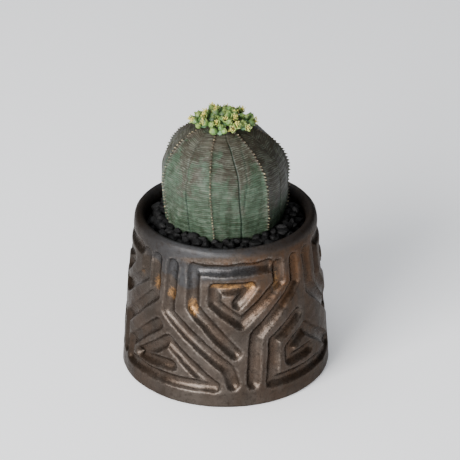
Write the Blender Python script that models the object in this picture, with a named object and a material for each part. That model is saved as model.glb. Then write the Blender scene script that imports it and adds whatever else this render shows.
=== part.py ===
"""A round, seven-ribbed succulent in flower, planted in a carved stoneware pot.

Metres, +Z up, origin at the centre of the pot's underside. Azimuth is measured from -Y, the front,
and grows towards +X, so azimuth 90 is the pot's right-hand side.
"""

import math
import random

import bmesh
import bpy
from mathutils import Matrix, Quaternion, Vector

MM = 0.001
GAP = 0.3 * MM  # air left between pieces that rest on each other

# Stem
STEM_RADIUS = 35.0 * MM  # over the ribs, at the widest height
STEM_DOME = 29.4 * MM  # widest height up to the crown
STEM_BARREL = 26.5 * MM  # gravel line up to the widest height
STEM_TUCK = 1.9 * MM  # how much the barrel draws in at the gravel line
STEM_LEAN = 1.8 * MM  # how far the crown leans to the left
RIB_AZIMUTHS = (-65.0, -12.0, 41.0, 92.5, 143.5, 195.0, 243.5)
RIB_COLUMNS = 6  # columns of faces from one rib to the next
FACET_DROP = 0.05  # share of the radius lost between a rib and its furrow
FURROW_CREASE = 0.7 * MM
CROWN_DIMPLE = 1.2 * MM
ROOT_TIP_RADIUS = 2.0 * MM
ROOT_STEPS = 6

# Pot
POT_HEIGHT = 93.0 * MM
POT_WALL = 6.3 * MM
POT_FLARE = 8.2 * MM  # the base is this much wider than the rim, on the radius
POT_BOW = 0.9 * MM  # outward bow at the middle of the wall
POT_FLOOR = 8.0 * MM
FOOT_ROUND = 1.6 * MM
LIP_DROP = 5.0 * MM  # height of the rounded lip
DRAIN_RADIUS = 7.0 * MM
POT_COLUMNS = 60

# Carving
BASE_BAND = 9.0 * MM  # smooth band left below the carving
RIM_BAND = 7.2 * MM  # smooth band left above it
CHANNEL_WIDTH = 7.4 * MM
CHANNEL_DEPTH = 2.2 * MM
CUTTER_RISE = 1.5 * MM  # how far a cutter stands out of the wall
CHANNEL_STEP = 11.0 * MM  # longest stretch of a cutter between two of its sections

# Filling
GRAVEL_RING = 10.4 * MM  # gravel's width between the stem and the pot
GRAVEL_BELOW_RIM = 3.5 * MM
GRAVEL_DEPTH = 10.0 * MM
BED_COLUMNS = 48
BED_KNOBS = 1.6 * MM
STONE_ROUGHNESS = 0.22  # how far a corner may be drawn in, as a share of the stone's radius
STONE_SIZE = 7.4 * MM
STONE_SPACING = 8.0 * MM
STONE_RISE = 1.2 * MM  # how far the stones may stand above the gravel line
STONE_FLATNESS = 0.72
DRAINAGE_DEPTH = 12.0 * MM
FILL_COLUMNS = 36
ROOT_CLEARANCE = 8.0 * MM  # potting mix left under the root's tip

# Drainage mesh
MESH_THICKNESS = 0.9 * MM
MESH_OVERLAP = 5.0 * MM  # how far the mesh reaches past the drain hole
MESH_HOLES = 5
MESH_BAR = 1.5 * MM

# Flowers
HEAD_RADIUS = 1.75 * MM
STALK_RADIUS = 0.85 * MM
STALK_LENGTH = 0.6 * MM
STALK_LEAN = 30.0  # degrees outward from upright, for a stalk at the edge of the cluster
BRANCH_LENGTH = 2.8 * MM
BRANCH_SPREAD = 48.0  # degrees between a branch and its stalk
CLUSTER_RADIUS = 14.0 * MM  # from the crown's centre out to the furthest stalk, along the skin
# Each stalk's azimuth in degrees, and its distance from the crown's centre in percent of the cluster's radius
STALKS = (
    (-90, 16),
    (10, 48),
    (78, 38),
    (170, 38),
    (-108, 52),
    (-44, 66),
    (-6, 100),
    (38, 84),
    (68, 104),
    (100, 100),
    (120, 66),
    (148, 87),
    (-178, 76),
    (-142, 84),
    (-106, 102),
    (-72, 92),
)

# Sizes that follow
GRAVEL_LINE = POT_HEIGHT - GRAVEL_BELOW_RIM
WIDEST_HEIGHT = GRAVEL_LINE + STEM_BARREL
CROWN_HEIGHT = WIDEST_HEIGHT + STEM_DOME
NECK_RADIUS = STEM_RADIUS - STEM_TUCK
MOUTH_RADIUS = NECK_RADIUS + GRAVEL_RING
RIM_RADIUS = MOUTH_RADIUS + POT_WALL
BASE_RADIUS = RIM_RADIUS + POT_FLARE
DRAINAGE_TOP = POT_FLOOR + GAP + DRAINAGE_DEPTH
GRAVEL_BOTTOM = GRAVEL_LINE - GRAVEL_DEPTH
STONE_HEIGHT = STONE_SIZE * STONE_FLATNESS
BED_TOP = GRAVEL_LINE + STONE_RISE - STONE_HEIGHT - GAP
ROOT_TIP_HEIGHT = DRAINAGE_TOP + ROOT_CLEARANCE
MESH_HALF = DRAIN_RADIUS + MESH_OVERLAP

# The carved lines, as (azimuth in degrees, percent of the carved band's height). The front and right
# quarters are drawn, and the back and left quarters repeat them half a turn round.
CARVED_LINES = (
    ((5.5, 29), (-19.8, 67), (-19.3, 99), (26.5, 100)),
    ((33.3, 98), (33.3, 83), (8.8, 54.5), (-6.5, 72), (-6.3, 84), (15.5, 84), (7, 72)),
    ((45.8, 98.5), (46, 79), (17, 42), (15, 2)),
    ((-34, 98), (-35, 58), (1.5, 15.5), (4.3, 2)),
    ((45.5, 51.5), (28.7, 35), (26.5, 0.5), (84, 0.5), (51, 36.5), (39, 25), (39, 15), (54, 16)),
    ((57.5, 98), (58, 68), (92, 25), (94, 2)),
    ((95.5, 29), (70, 67.5), (70.5, 99), (116.5, 99)),
    ((124.5, 98), (124.5, 80), (99, 54.5), (84, 72), (84, 84), (105.5, 84), (97, 72)),
    ((134, 98.5), (134, 68), (105, 30.5), (104, 2)),
    ((137.5, 44.5), (113.5, 15.5), (112, 0), (173.5, 0), (145.5, 33), (124, 10.5), (148, 12.5)),
)

MATERIALS = {
    "stoneware": ((0.105, 0.090, 0.078), 0.42, 0.55),
    "black_gravel": ((0.018, 0.018, 0.020), 0.60, 0.0),
    "potting_mix": ((0.060, 0.040, 0.025), 0.95, 0.0),
    "pumice": ((0.420, 0.380, 0.310), 0.95, 0.0),
    "mesh_plastic": ((0.030, 0.035, 0.030), 0.55, 0.0),
    "stem_skin": ((0.130, 0.180, 0.110), 0.60, 0.0),
    "flower_green": ((0.260, 0.420, 0.110), 0.50, 0.0),
}


def clear_scene():
    """Removes whatever objects the scene holds."""
    for obj in list(bpy.data.objects):
        bpy.data.objects.remove(obj)


def material(name):
    """The named Principled material, made on first use."""
    made = bpy.data.materials.get(name)
    if made is None:
        colour, roughness, metallic = MATERIALS[name]
        made = bpy.data.materials.new(name)
        made.use_nodes = True
        shader = made.node_tree.nodes["Principled BSDF"]
        shader.inputs["Base Color"].default_value = (*colour, 1.0)
        shader.inputs["Roughness"].default_value = roughness
        shader.inputs["Metallic"].default_value = metallic
    return made


def add_object(name, mesh_data, material_name, smooth_angle=None):
    """Closes a bmesh into a named object, with its faces pointing out."""
    bmesh.ops.recalc_face_normals(mesh_data, faces=mesh_data.faces)
    mesh = bpy.data.meshes.new(name)
    mesh_data.to_mesh(mesh)
    mesh_data.free()
    if smooth_angle is not None:
        mesh.shade_smooth()
        mesh.set_sharp_from_angle(angle=math.radians(smooth_angle))
    mesh.materials.append(material(material_name))
    obj = bpy.data.objects.new(name, mesh)
    bpy.context.scene.collection.objects.link(obj)
    return obj


def add_cutter(name, mesh_data, collection):
    """A helper shape that Booleans cut with, kept out of the model."""
    bmesh.ops.recalc_face_normals(mesh_data, faces=mesh_data.faces)
    mesh = bpy.data.meshes.new(name)
    mesh_data.to_mesh(mesh)
    mesh_data.free()
    obj = bpy.data.objects.new(name, mesh)
    obj.hide_render = True
    obj.display_type = "WIRE"
    collection.objects.link(obj)
    return obj


def around(azimuth, radius, height):
    """The point at an azimuth in degrees, a radius and a height."""
    angle = math.radians(azimuth)
    return Vector((radius * math.sin(angle), -radius * math.cos(angle), height))


def loft(mesh_data, rings, closed_ends=True, joined=False):
    """Joins rings of points with quads, and either caps both ends or joins the last ring to the first."""
    layers = [[mesh_data.verts.new(point) for point in ring] for ring in rings]
    pairs = list(zip(layers, layers[1:]))
    if joined:
        pairs.append((layers[-1], layers[0]))
    for lower, upper in pairs:
        for i, _ in enumerate(lower):
            j = (i + 1) % len(lower)
            mesh_data.faces.new((lower[i], lower[j], upper[j], upper[i]))
    if closed_ends:
        mesh_data.faces.new(layers[0])
        mesh_data.faces.new(layers[-1])
    return layers


def turned_ring(profile, columns):
    """A profile of (radius, height) turned round the axis into a ring, its last point joined to its first."""
    mesh_data = bmesh.new()
    rings = [[around(360 * i / columns, r, z) for i in range(columns)] for r, z in profile]
    loft(mesh_data, rings, closed_ends=False, joined=True)
    return mesh_data


def turned_solid(profile, columns):
    """A profile of (radius, height) turned into a solid that is flat at both ends."""
    mesh_data = bmesh.new()
    rings = [[around(360 * i / columns, r, z) for i in range(columns)] for r, z in profile]
    loft(mesh_data, rings)
    return mesh_data


# ---------------------------------------------------------------- pot


def wall_radius(height):
    """The pot's outside radius at a height: a straight taper with a slight outward bow."""
    share = height / POT_HEIGHT
    return BASE_RADIUS - POT_FLARE * share + POT_BOW * 4 * share * (1 - share)


def inner_radius(height):
    """The pot's inside radius, one wall in from the outside."""
    return wall_radius(height) - POT_WALL


def pot_profile():
    """The pot's section, from the drain hole's edge out, up, over the lip and back down inside."""
    lip_centre = POT_HEIGHT - LIP_DROP
    shoulder = wall_radius(lip_centre)
    lip_middle = shoulder - POT_WALL / 2
    outside = [FOOT_ROUND, POT_HEIGHT * 0.33, POT_HEIGHT * 0.66]
    inside = [POT_HEIGHT * 0.66, POT_HEIGHT * 0.33]
    profile = [(DRAIN_RADIUS, 0.0), (BASE_RADIUS - FOOT_ROUND, 0.0)]
    profile += [(wall_radius(z), z) for z in outside]
    for degrees in (0, 35, 65, 90, 120, 150, 180):
        turn = math.radians(degrees)
        profile.append((lip_middle + POT_WALL / 2 * math.cos(turn), lip_centre + LIP_DROP * math.sin(turn)))
    profile += [(inner_radius(z), z) for z in inside]
    profile.append((inner_radius(POT_FLOOR), POT_FLOOR + FOOT_ROUND * 2))
    profile.append((inner_radius(POT_FLOOR) - FOOT_ROUND * 2, POT_FLOOR))
    profile.append((DRAIN_RADIUS, POT_FLOOR))
    return profile


def band_height(percent):
    """The height of a share of the carved band, measured to a channel's middle."""
    low = BASE_BAND + CHANNEL_WIDTH / 2
    high = POT_HEIGHT - RIM_BAND - CHANNEL_WIDTH / 2
    return low + (high - low) * percent / 100


def on_wall(azimuth, height, outward):
    """A point at an azimuth and height, moved out from the pot's wall."""
    return around(azimuth, wall_radius(height) + outward, height)


def carved_groove(start, end):
    """A bar that follows the wall from start to end with narrowed ends, and cuts one stretch of channel.

    Each section is a trapezium: wide outside the wall and narrow at the channel's floor.
    """
    (azimuth_a, height_a), (azimuth_b, height_b) = start, end
    middle = wall_radius((height_a + height_b) / 2)
    across = math.radians(azimuth_b - azimuth_a) * middle
    up = height_b - height_a
    length = math.hypot(across, up)
    side = (-up / length, across / length)
    half = CHANNEL_WIDTH / 2
    inner_steps = max(1, math.ceil(length / CHANNEL_STEP))
    stations = [(-half * 0.9, 0.42)]
    stations += [(length * i / inner_steps, 1.0) for i in range(inner_steps + 1)]
    stations += [(length + half * 0.9, 0.42)]
    mesh_data = bmesh.new()
    rings = []
    for along, share in stations:
        azimuth = azimuth_a + (azimuth_b - azimuth_a) * along / length
        height = height_a + up * along / length
        ring = []
        depth = CHANNEL_DEPTH * share
        for reach, outward in ((-1.45, CUTTER_RISE), (1.45, CUTTER_RISE), (0.42, -depth), (-0.42, -depth)):
            shift = half * share * reach
            shifted = azimuth + math.degrees(side[0] * shift / middle)
            ring.append(on_wall(shifted, height + side[1] * shift, outward))
        rings.append(ring)
    loft(mesh_data, rings)
    return mesh_data


def build_pot():
    """The pot: a turned vessel with the channels cut into its wall."""
    pot = add_object("pot", turned_ring(pot_profile(), POT_COLUMNS), "stoneware", 40)
    cutters = bpy.data.collections.new("channel_cutters")
    bpy.context.scene.collection.children.link(cutters)
    for half_turn in (0, 180):
        for number, line in enumerate(CARVED_LINES):
            points = [(azimuth + half_turn, band_height(percent)) for azimuth, percent in line]
            for part, (start, end) in enumerate(zip(points, points[1:])):
                name = f"channel_{half_turn}_{number}_{part}"
                add_cutter(name, carved_groove(start, end), cutters)
    carving = pot.modifiers.new("carving", "BOOLEAN")
    carving.operand_type = "COLLECTION"
    carving.collection = cutters
    carving.operation = "DIFFERENCE"
    carving.solver = "EXACT"


# ---------------------------------------------------------------- filling


def build_drainage_mesh():
    """The square of plastic mesh that lies over the drain hole and keeps the filling in."""
    cells = 2 * MESH_HOLES + 1
    hole = (2 * MESH_HALF - MESH_BAR * (MESH_HOLES + 1)) / MESH_HOLES
    marks = [-MESH_HALF]
    for i in range(cells):
        marks.append(marks[-1] + (hole if i % 2 else MESH_BAR))
    mesh_data = bmesh.new()
    points = [[mesh_data.verts.new((x, y, 0.0)) for x in marks] for y in marks]
    for row in range(cells):
        for column in range(cells):
            if row % 2 and column % 2:
                continue
            lower, upper = points[row], points[row + 1]
            corners = (lower[column], lower[column + 1], upper[column + 1], upper[column])
            mesh_data.faces.new(corners)
    sheet = bmesh.ops.extrude_face_region(mesh_data, geom=mesh_data.faces[:])
    top = [item for item in sheet["geom"] if isinstance(item, bmesh.types.BMVert)]
    bmesh.ops.translate(mesh_data, vec=(0, 0, MESH_THICKNESS), verts=top)
    mesh = add_object("drainage_mesh", mesh_data, "mesh_plastic")
    mesh.location = (0, 0, POT_FLOOR + GAP)


def build_drainage_layer():
    """The layer of pumice at the bottom of the pot, with a shallow hollow under it for the mesh."""
    bottom = POT_FLOOR + GAP
    hollow = MESH_HALF * math.sqrt(2) + GAP
    corner = inner_radius(POT_FLOOR) - GAP
    profile = [
        (hollow, bottom + MESH_THICKNESS + GAP),
        (hollow, bottom),
        (corner - FOOT_ROUND * 2, bottom),
        (corner, bottom + FOOT_ROUND * 2),
        (inner_radius(DRAINAGE_TOP) - GAP, DRAINAGE_TOP),
    ]
    add_object("drainage_layer", turned_solid(profile, FILL_COLUMNS), "pumice", 30)


def root_radius(height):
    """The root's radius below the gravel line, swelling out of a thin tip."""
    share = (height - ROOT_TIP_HEIGHT) / (GRAVEL_LINE - ROOT_TIP_HEIGHT)
    return ROOT_TIP_RADIUS + (NECK_RADIUS - ROOT_TIP_RADIUS) * share**1.7


def root_heights(steps, top):
    """Heights from the root's tip up to a level."""
    return [ROOT_TIP_HEIGHT + (top - ROOT_TIP_HEIGHT) * i / steps for i in range(steps + 1)]


def build_potting_mix():
    """The potting mix: it fills the pot up to the gravel, with a hollow that fits the root."""
    bottom = DRAINAGE_TOP + GAP
    top = GRAVEL_BOTTOM - GAP
    profile = [(inner_radius(z) - GAP, z) for z in (bottom, (bottom + top) / 2, top)]
    profile += [(root_radius(z) + 2 * GAP, z) for z in reversed(root_heights(ROOT_STEPS, top))]
    profile.append((ROOT_TIP_RADIUS + GAP, ROOT_TIP_HEIGHT - GAP))
    add_object("potting_mix", turned_solid(profile, FILL_COLUMNS), "potting_mix", 30)


def build_gravel_bed():
    """The packed lower gravel: a ring between the stem and the pot with a knobbly top."""
    hole = NECK_RADIUS + GAP
    edge = min(inner_radius(GRAVEL_BOTTOM), inner_radius(GRAVEL_LINE)) - 2 * GAP
    knobs = random.Random(7)
    flat = [GRAVEL_BOTTOM] * BED_COLUMNS
    sections = [(hole, flat), (edge, flat)]
    for share in (1.0, 0.68, 0.34, 0.0):
        heights = [BED_TOP - knobs.uniform(0, BED_KNOBS) for _ in range(BED_COLUMNS)]
        sections.append((hole + (edge - hole) * share, heights))
    rings = []
    for radius, heights in sections:
        rings.append([around(360 * i / BED_COLUMNS, radius, heights[i]) for i in range(BED_COLUMNS)])
    mesh_data = bmesh.new()
    loft(mesh_data, rings, closed_ends=False, joined=True)
    add_object("gravel_bed", mesh_data, "black_gravel")


def build_stones():
    """The larger stones that lie on the bed, each a faceted lump inside a sphere of the stone size."""
    middle = NECK_RADIUS + GRAVEL_RING / 2
    swing = (GRAVEL_RING - STONE_SIZE) / 2 - GAP
    count = 2 * int(math.pi * middle / STONE_SPACING)
    shapes = random.Random(21)
    for number in range(count):
        mesh_data = bmesh.new()
        bmesh.ops.create_icosphere(mesh_data, subdivisions=1, radius=STONE_SIZE / 2)
        for vert in mesh_data.verts:
            vert.co *= shapes.uniform(1 - STONE_ROUGHNESS, 1.0)
        spin = Quaternion((0, 0, 1), shapes.uniform(0, math.tau))
        tumble = Quaternion((1, 0, 0), shapes.uniform(0, math.tau))
        flatten = Matrix.Diagonal((1.0, 1.0, STONE_FLATNESS, 1.0))
        turned = flatten @ (spin @ tumble).to_matrix().to_4x4()
        bmesh.ops.transform(mesh_data, matrix=turned, verts=mesh_data.verts)
        lowest = min(vert.co.z for vert in mesh_data.verts)
        radius = middle + (swing if number % 2 else -swing)
        seat = around(360 * number / count, radius, BED_TOP + GAP - lowest)
        bmesh.ops.translate(mesh_data, vec=seat, verts=mesh_data.verts)
        add_object(f"gravel_stone_{number + 1:02d}", mesh_data, "black_gravel")


# ---------------------------------------------------------------- plant


def lean(height):
    """How far the stem's middle has moved to the left at a height above the gravel."""
    share = max(0.0, (height - GRAVEL_LINE) / (CROWN_HEIGHT - GRAVEL_LINE))
    return Vector((-STEM_LEAN * share**3, 0, 0))


def rib_columns():
    """(azimuth, share) for each column of the stem: share is 0 on a rib and 1 in a furrow."""
    columns = []
    for i, azimuth in enumerate(RIB_AZIMUTHS):
        following = RIB_AZIMUTHS[(i + 1) % len(RIB_AZIMUTHS)]
        width = (following - azimuth) % 360
        for j in range(RIB_COLUMNS):
            share = 1 - abs(2 * j / RIB_COLUMNS - 1)
            columns.append((azimuth + width * j / RIB_COLUMNS, share))
    return columns


def stem_levels():
    """(radius over the ribs, height, how deep the furrows are as a share) from the root's tip to the crown."""
    levels = [(root_radius(z), z, (z - ROOT_TIP_HEIGHT) / (GRAVEL_LINE - ROOT_TIP_HEIGHT))
              for z in root_heights(ROOT_STEPS, GRAVEL_LINE)]
    for i in range(1, 5):
        share = i / 4
        radius = STEM_RADIUS - STEM_TUCK * (1 - share) ** 2
        levels.append((radius, GRAVEL_LINE + STEM_BARREL * share, 1.0))
    for degrees in (14, 27, 39, 50, 60, 69, 77, 84):
        turn = math.radians(degrees)
        levels.append((STEM_RADIUS * math.cos(turn), WIDEST_HEIGHT + STEM_DOME * math.sin(turn), 1.0))
    return levels


def build_stem():
    """The stem and its taproot, grown as one piece: seven broad ribs meeting at a dimpled crown."""
    mesh_data = bmesh.new()
    rings = []
    for radius, height, depth in stem_levels():
        ring = []
        for azimuth, share in rib_columns():
            drop = FACET_DROP * share * depth
            crease = FURROW_CREASE * depth * (share == 1) * min(1.0, radius / STEM_RADIUS * 2)
            ring.append(around(azimuth, radius * (1 - drop) - crease, height) + lean(height))
        rings.append(ring)
    layers = loft(mesh_data, rings, closed_ends=False)
    mesh_data.faces.new(layers[0])
    crown = mesh_data.verts.new(Vector((0, 0, CROWN_HEIGHT - CROWN_DIMPLE)) + lean(CROWN_HEIGHT))
    for i, vert in enumerate(layers[-1]):
        mesh_data.faces.new((vert, layers[-1][(i + 1) % len(layers[-1])], crown))
    add_object("stem", mesh_data, "stem_skin", 25)


def dome_point(azimuth, arc):
    """A point on the dome at an arc distance from its top, and the direction that faces out there."""
    turn = arc / STEM_RADIUS
    height = WIDEST_HEIGHT + STEM_DOME * math.cos(turn)
    point = around(azimuth, STEM_RADIUS * math.sin(turn), height) + lean(height)
    facing = around(azimuth, math.sin(turn) / STEM_RADIUS, math.cos(turn) / STEM_DOME).normalized()
    return point, facing


def rod(start, end, start_radius, end_radius, sides):
    """A tapered rod between two points."""
    mesh_data = bmesh.new()
    along = (end - start).normalized()
    turn = along.to_track_quat("Z", "Y")
    rings = []
    for centre, radius in ((start, start_radius), (end, end_radius)):
        angles = [math.tau * i / sides for i in range(sides)]
        rings.append([centre + turn @ Vector((radius * math.cos(a), radius * math.sin(a), 0)) for a in angles])
    loft(mesh_data, rings)
    return mesh_data


def flower_head(centre, facing):
    """One flower head: a round cup, flat at its mouth."""
    mesh_data = bmesh.new()
    turn = facing.to_track_quat("Z", "Y")
    sides = 7
    rings = []
    for level, share in ((-1.0, 0.36), (-0.45, 0.90), (0.25, 1.0), (0.85, 0.62)):
        angles = [math.tau * i / sides for i in range(sides)]
        radius = HEAD_RADIUS * share
        ring = [Vector((radius * math.cos(a), radius * math.sin(a), HEAD_RADIUS * level)) for a in angles]
        rings.append([centre + turn @ point for point in ring])
    loft(mesh_data, rings)
    return mesh_data


def build_stalk(name, azimuth, percent):
    """One forked flower stalk with two heads side by side, joined into a single piece."""
    foot, facing = dome_point(azimuth, CLUSTER_RADIUS * percent / 100)
    foot = foot + facing * (GAP + STALK_RADIUS)
    tilt = math.radians(STALK_LEAN) * percent / 100
    grow = around(azimuth, math.sin(tilt), math.cos(tilt))
    sideways = around(azimuth + 90, 1.0, 0.0)
    fork = foot + grow * STALK_LENGTH
    stem_end = fork + grow * STALK_RADIUS
    stalk = add_object(name, rod(foot, stem_end, STALK_RADIUS, STALK_RADIUS, 6), "flower_green", 50)
    heads = bpy.data.collections.new(f"{name}_heads")
    bpy.context.scene.collection.children.link(heads)
    spread = math.radians(BRANCH_SPREAD)
    for label, side in (("left", -1), ("right", 1)):
        aim = grow * math.cos(spread) + sideways * side * math.sin(spread)
        tip = fork + aim * BRANCH_LENGTH
        add_cutter(f"{name}_{label}_branch", rod(fork, tip, STALK_RADIUS * 0.95, STALK_RADIUS * 0.8, 5), heads)
        add_cutter(f"{name}_{label}_head", flower_head(tip, aim), heads)
    joined = stalk.modifiers.new("heads", "BOOLEAN")
    joined.operand_type = "COLLECTION"
    joined.collection = heads
    joined.operation = "UNION"
    joined.solver = "EXACT"


def build_flowers():
    """The cluster of forked flower stalks on the crown."""
    for number, (azimuth, percent) in enumerate(STALKS, 1):
        build_stalk(f"flower_stalk_{number:02d}", azimuth, percent)


def main():
    """Builds every piece, from the pot inwards and up."""
    clear_scene()
    build_pot()
    build_drainage_mesh()
    build_drainage_layer()
    build_potting_mix()
    build_gravel_bed()
    build_stones()
    build_stem()
    build_flowers()


main()
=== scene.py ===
"""A round ribbed succulent in flower, in a carved stoneware pot: its surfaces, finishes, light and camera.

Classes hold their sizes in millimetres, and Shell.piece turns them into the frame's metres. Azimuth is
counted in degrees from -Y, the front, and grows towards +X.
"""

from __future__ import annotations
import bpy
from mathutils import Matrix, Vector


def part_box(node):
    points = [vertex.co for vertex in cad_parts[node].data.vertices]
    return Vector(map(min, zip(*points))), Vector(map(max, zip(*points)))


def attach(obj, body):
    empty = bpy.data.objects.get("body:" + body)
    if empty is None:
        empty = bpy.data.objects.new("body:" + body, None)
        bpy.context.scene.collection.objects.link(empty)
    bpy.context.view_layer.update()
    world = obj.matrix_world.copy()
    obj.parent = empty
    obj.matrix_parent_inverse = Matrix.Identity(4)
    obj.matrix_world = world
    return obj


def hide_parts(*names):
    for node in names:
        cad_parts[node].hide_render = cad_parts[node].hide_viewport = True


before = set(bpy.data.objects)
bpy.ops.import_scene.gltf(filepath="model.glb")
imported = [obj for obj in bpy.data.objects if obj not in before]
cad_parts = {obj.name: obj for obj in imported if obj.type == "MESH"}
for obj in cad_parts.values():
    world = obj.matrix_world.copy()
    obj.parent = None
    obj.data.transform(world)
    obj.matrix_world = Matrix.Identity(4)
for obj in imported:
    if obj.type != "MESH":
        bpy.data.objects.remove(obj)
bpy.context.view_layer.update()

import logging
import math
from collections.abc import Sequence
from dataclasses import dataclass, field
from enum import Enum
from functools import cache, partialmethod
from typing import Any, NamedTuple

import bpy
import numpy as np
from mathutils import Vector

Array = np.ndarray
Triple = tuple[float, float, float]  # a colour, a place or a stretch

MM = 0.001
GRAVEL_BELOW_RIM = 3.5  # where the stem leaves the gravel, under the pot's top
CROWN_ABOVE_CAD = 0.16
BED_INNER_RADIUS = 33.0
log = logging.getLogger("potted_succulent")


class Slot(Enum):
    """The record's material slots, passed along with new pieces."""

    STONEWARE = "stoneware"
    GRAVEL = "black_gravel"
    SKIN = "stem_skin"
    FLOWER = "flower_green"


class Head(Enum):
    """How far a flower head has opened."""

    BUD = "bud"
    OPEN = "open"
    AGED = "aged"


# ---------------- number work


def smoothstep(low: float, high: float, value: Array) -> Array:
    """Rises smoothly from 0 at low to 1 at high."""
    share = np.clip((value - low) / (high - low), 0.0, 1.0)
    return share * share * (3 - 2 * share)


def bell(distance: Array, width: float) -> Array:
    """A bump that is 1 at distance 0 and falls to about a third at the width."""
    return np.exp(-((distance / width) ** 2))


def polar(azimuth: Array, radius: Array, height: Array) -> Array:
    """Points at azimuths in degrees, radii and heights, as an array whose last axis is x, y, z."""
    angle = np.radians(azimuth)
    parts = np.broadcast_arrays(radius * np.sin(angle), -radius * np.cos(angle), height)
    return np.stack(parts, axis=-1)


def turn_between(azimuth: Array, other: float) -> Array:
    """The signed turn in degrees from one azimuth to another, the short way round."""
    return (azimuth - other + 180.0) % 360.0 - 180.0


def wave(distance: Array, pitch: float) -> Array:
    """A cosine between 0 and 1 that repeats with the distance."""
    return 0.5 + 0.5 * np.cos(2 * np.pi * distance / pitch)


def around(azimuth: Array, centre: float, width: float) -> Array:
    """A bump over the azimuths near one of them, with its width in degrees."""
    return bell(turn_between(azimuth, centre), width)


def axes_along(direction: Array) -> Array:
    """Three unit vectors as columns: two across a direction and then the direction itself."""
    along = direction / np.linalg.norm(direction)
    helper = np.array([0.0, 0.0, 1.0]) if abs(along[2]) < 0.9 else np.array([1.0, 0.0, 0.0])
    first = np.cross(helper, along)
    first /= np.linalg.norm(first)
    return np.stack([first, np.cross(along, first), along], axis=1)


@dataclass(frozen=True)
class Ripples:
    """Smooth seeded noise: the sum of sine waves that run in random directions, scaled to unit spread."""

    wavelength: float
    seed: int
    waves: int = 14

    def at(self, points: Array) -> Array:
        """The noise at points.

        Args:
            points: an array whose last axis is x, y, z in millimetres.

        Returns:
            The noise, about -2 to 2, in the shape of the points without their last axis.
        """
        draw = np.random.default_rng(self.seed)
        ways = draw.normal(size=(self.waves, 3))
        ways /= np.linalg.norm(ways, axis=1, keepdims=True)
        lengths = self.wavelength * draw.uniform(0.6, 1.6, self.waves)
        phases = draw.uniform(0, 2 * np.pi, self.waves)
        turns = points @ (ways / lengths[:, None]).T * 2 * np.pi + phases
        return np.sin(turns).sum(axis=-1) * math.sqrt(2 / self.waves)


# ---------------- frame and scene


def box_of(node: str) -> tuple[Array, Array]:
    """The lower and upper corners of a CAD node's box, in millimetres."""
    low, high = (np.array(corner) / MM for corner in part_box(node))
    return low, high


def nodes_named(start: str) -> list[str]:
    """The frame's nodes whose names have one start, in order."""
    return sorted(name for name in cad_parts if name.startswith(start))


def add_object(name: str, data: Any) -> bpy.types.Object:
    """Puts a mesh, light or camera in the scene as an object."""
    made = bpy.data.objects.new(name, data)
    bpy.context.scene.collection.objects.link(made)
    return made


# ---------------- meshes


class Patch(NamedTuple):
    """A stretch of surface: points in millimetres, four-sided faces and three-sided faces."""

    points: Array
    quads: Array
    triangles: Array


def grid_patch(
    grid: Array, wrap_rows: bool = False, bottom: Array | None = None, top: Array | None = None
) -> Patch:
    """Joins a grid of points whose columns run round, anticlockwise seen along the rows.

    Args:
        grid: points of shape (rows, columns, 3).
        wrap_rows: whether the last row joins the first.
        bottom: a point that closes the first row, if any.
        top: a point that closes the last row, if any.

    Returns:
        The patch, with its faces outwards.
    """
    rows, columns = grid.shape[:2]
    row = np.arange(rows if wrap_rows else rows - 1)[:, None]
    column = np.arange(columns)[None, :]
    above, beside = (row + 1) % rows, (column + 1) % columns
    pairs = ((row, column), (row, beside), (above, beside), (above, column))
    quads = np.stack(np.broadcast_arrays(*(up * columns + on for up, on in pairs)), axis=-1).reshape(-1, 4)
    points = grid.reshape(-1, 3)
    ring, following = np.arange(columns), (np.arange(columns) + 1) % columns
    fans = []
    if bottom is not None:
        fans.append(np.stack([following, ring, np.full(columns, len(points))], axis=1))
        points = np.vstack([points, bottom])
    if top is not None:
        last = (rows - 1) * columns
        fans.append(np.stack([last + ring, last + following, np.full(columns, len(points))], axis=1))
        points = np.vstack([points, top])
    return Patch(points, quads, np.concatenate(fans) if fans else np.zeros((0, 3), int))


def with_poles(values: Array, shape: tuple[int, ...]) -> Array:
    """A shade for each point of a grid, then for the points that close its first and last rows."""
    spread = np.broadcast_to(values, shape)
    return np.append(spread.ravel(), [spread[0, 0], spread[-1, 0]])


def ball_grid(rows: int, columns: int) -> Array:
    """Directions over a ball between its poles, as (rows, columns, 3), from the bottom up."""
    latitude = np.linspace(-90, 90, rows + 2)[1:-1, None]
    azimuth = np.arange(columns)[None, :] * 360 / columns
    return polar(azimuth, np.cos(np.radians(latitude)), np.sin(np.radians(latitude)))


def tube(path: Array, radii: Array, sides: int) -> Patch:
    """A round tube: a circle of changing radius carried along a path, closed with a point at each end."""
    steps = np.gradient(path, axis=0)
    steps /= np.linalg.norm(steps, axis=1, keepdims=True)
    helper = axes_along(path[-1] - path[0])[:, 0]
    second = np.cross(steps, helper)
    second /= np.linalg.norm(second, axis=1, keepdims=True)
    first = np.cross(second, steps)
    angle = np.arange(sides) * 2 * np.pi / sides
    wide, tall = np.cos(angle)[None, :, None], np.sin(angle)[None, :, None]
    grid = path[:, None, :] + (wide * first[:, None, :] + tall * second[:, None, :]) * radii[:, None, None]
    ends = path[0] - steps[0] * radii[0] * 0.4, path[-1] + steps[-1] * radii[-1] * 0.4
    return grid_patch(grid, bottom=ends[0], top=ends[1])


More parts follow.
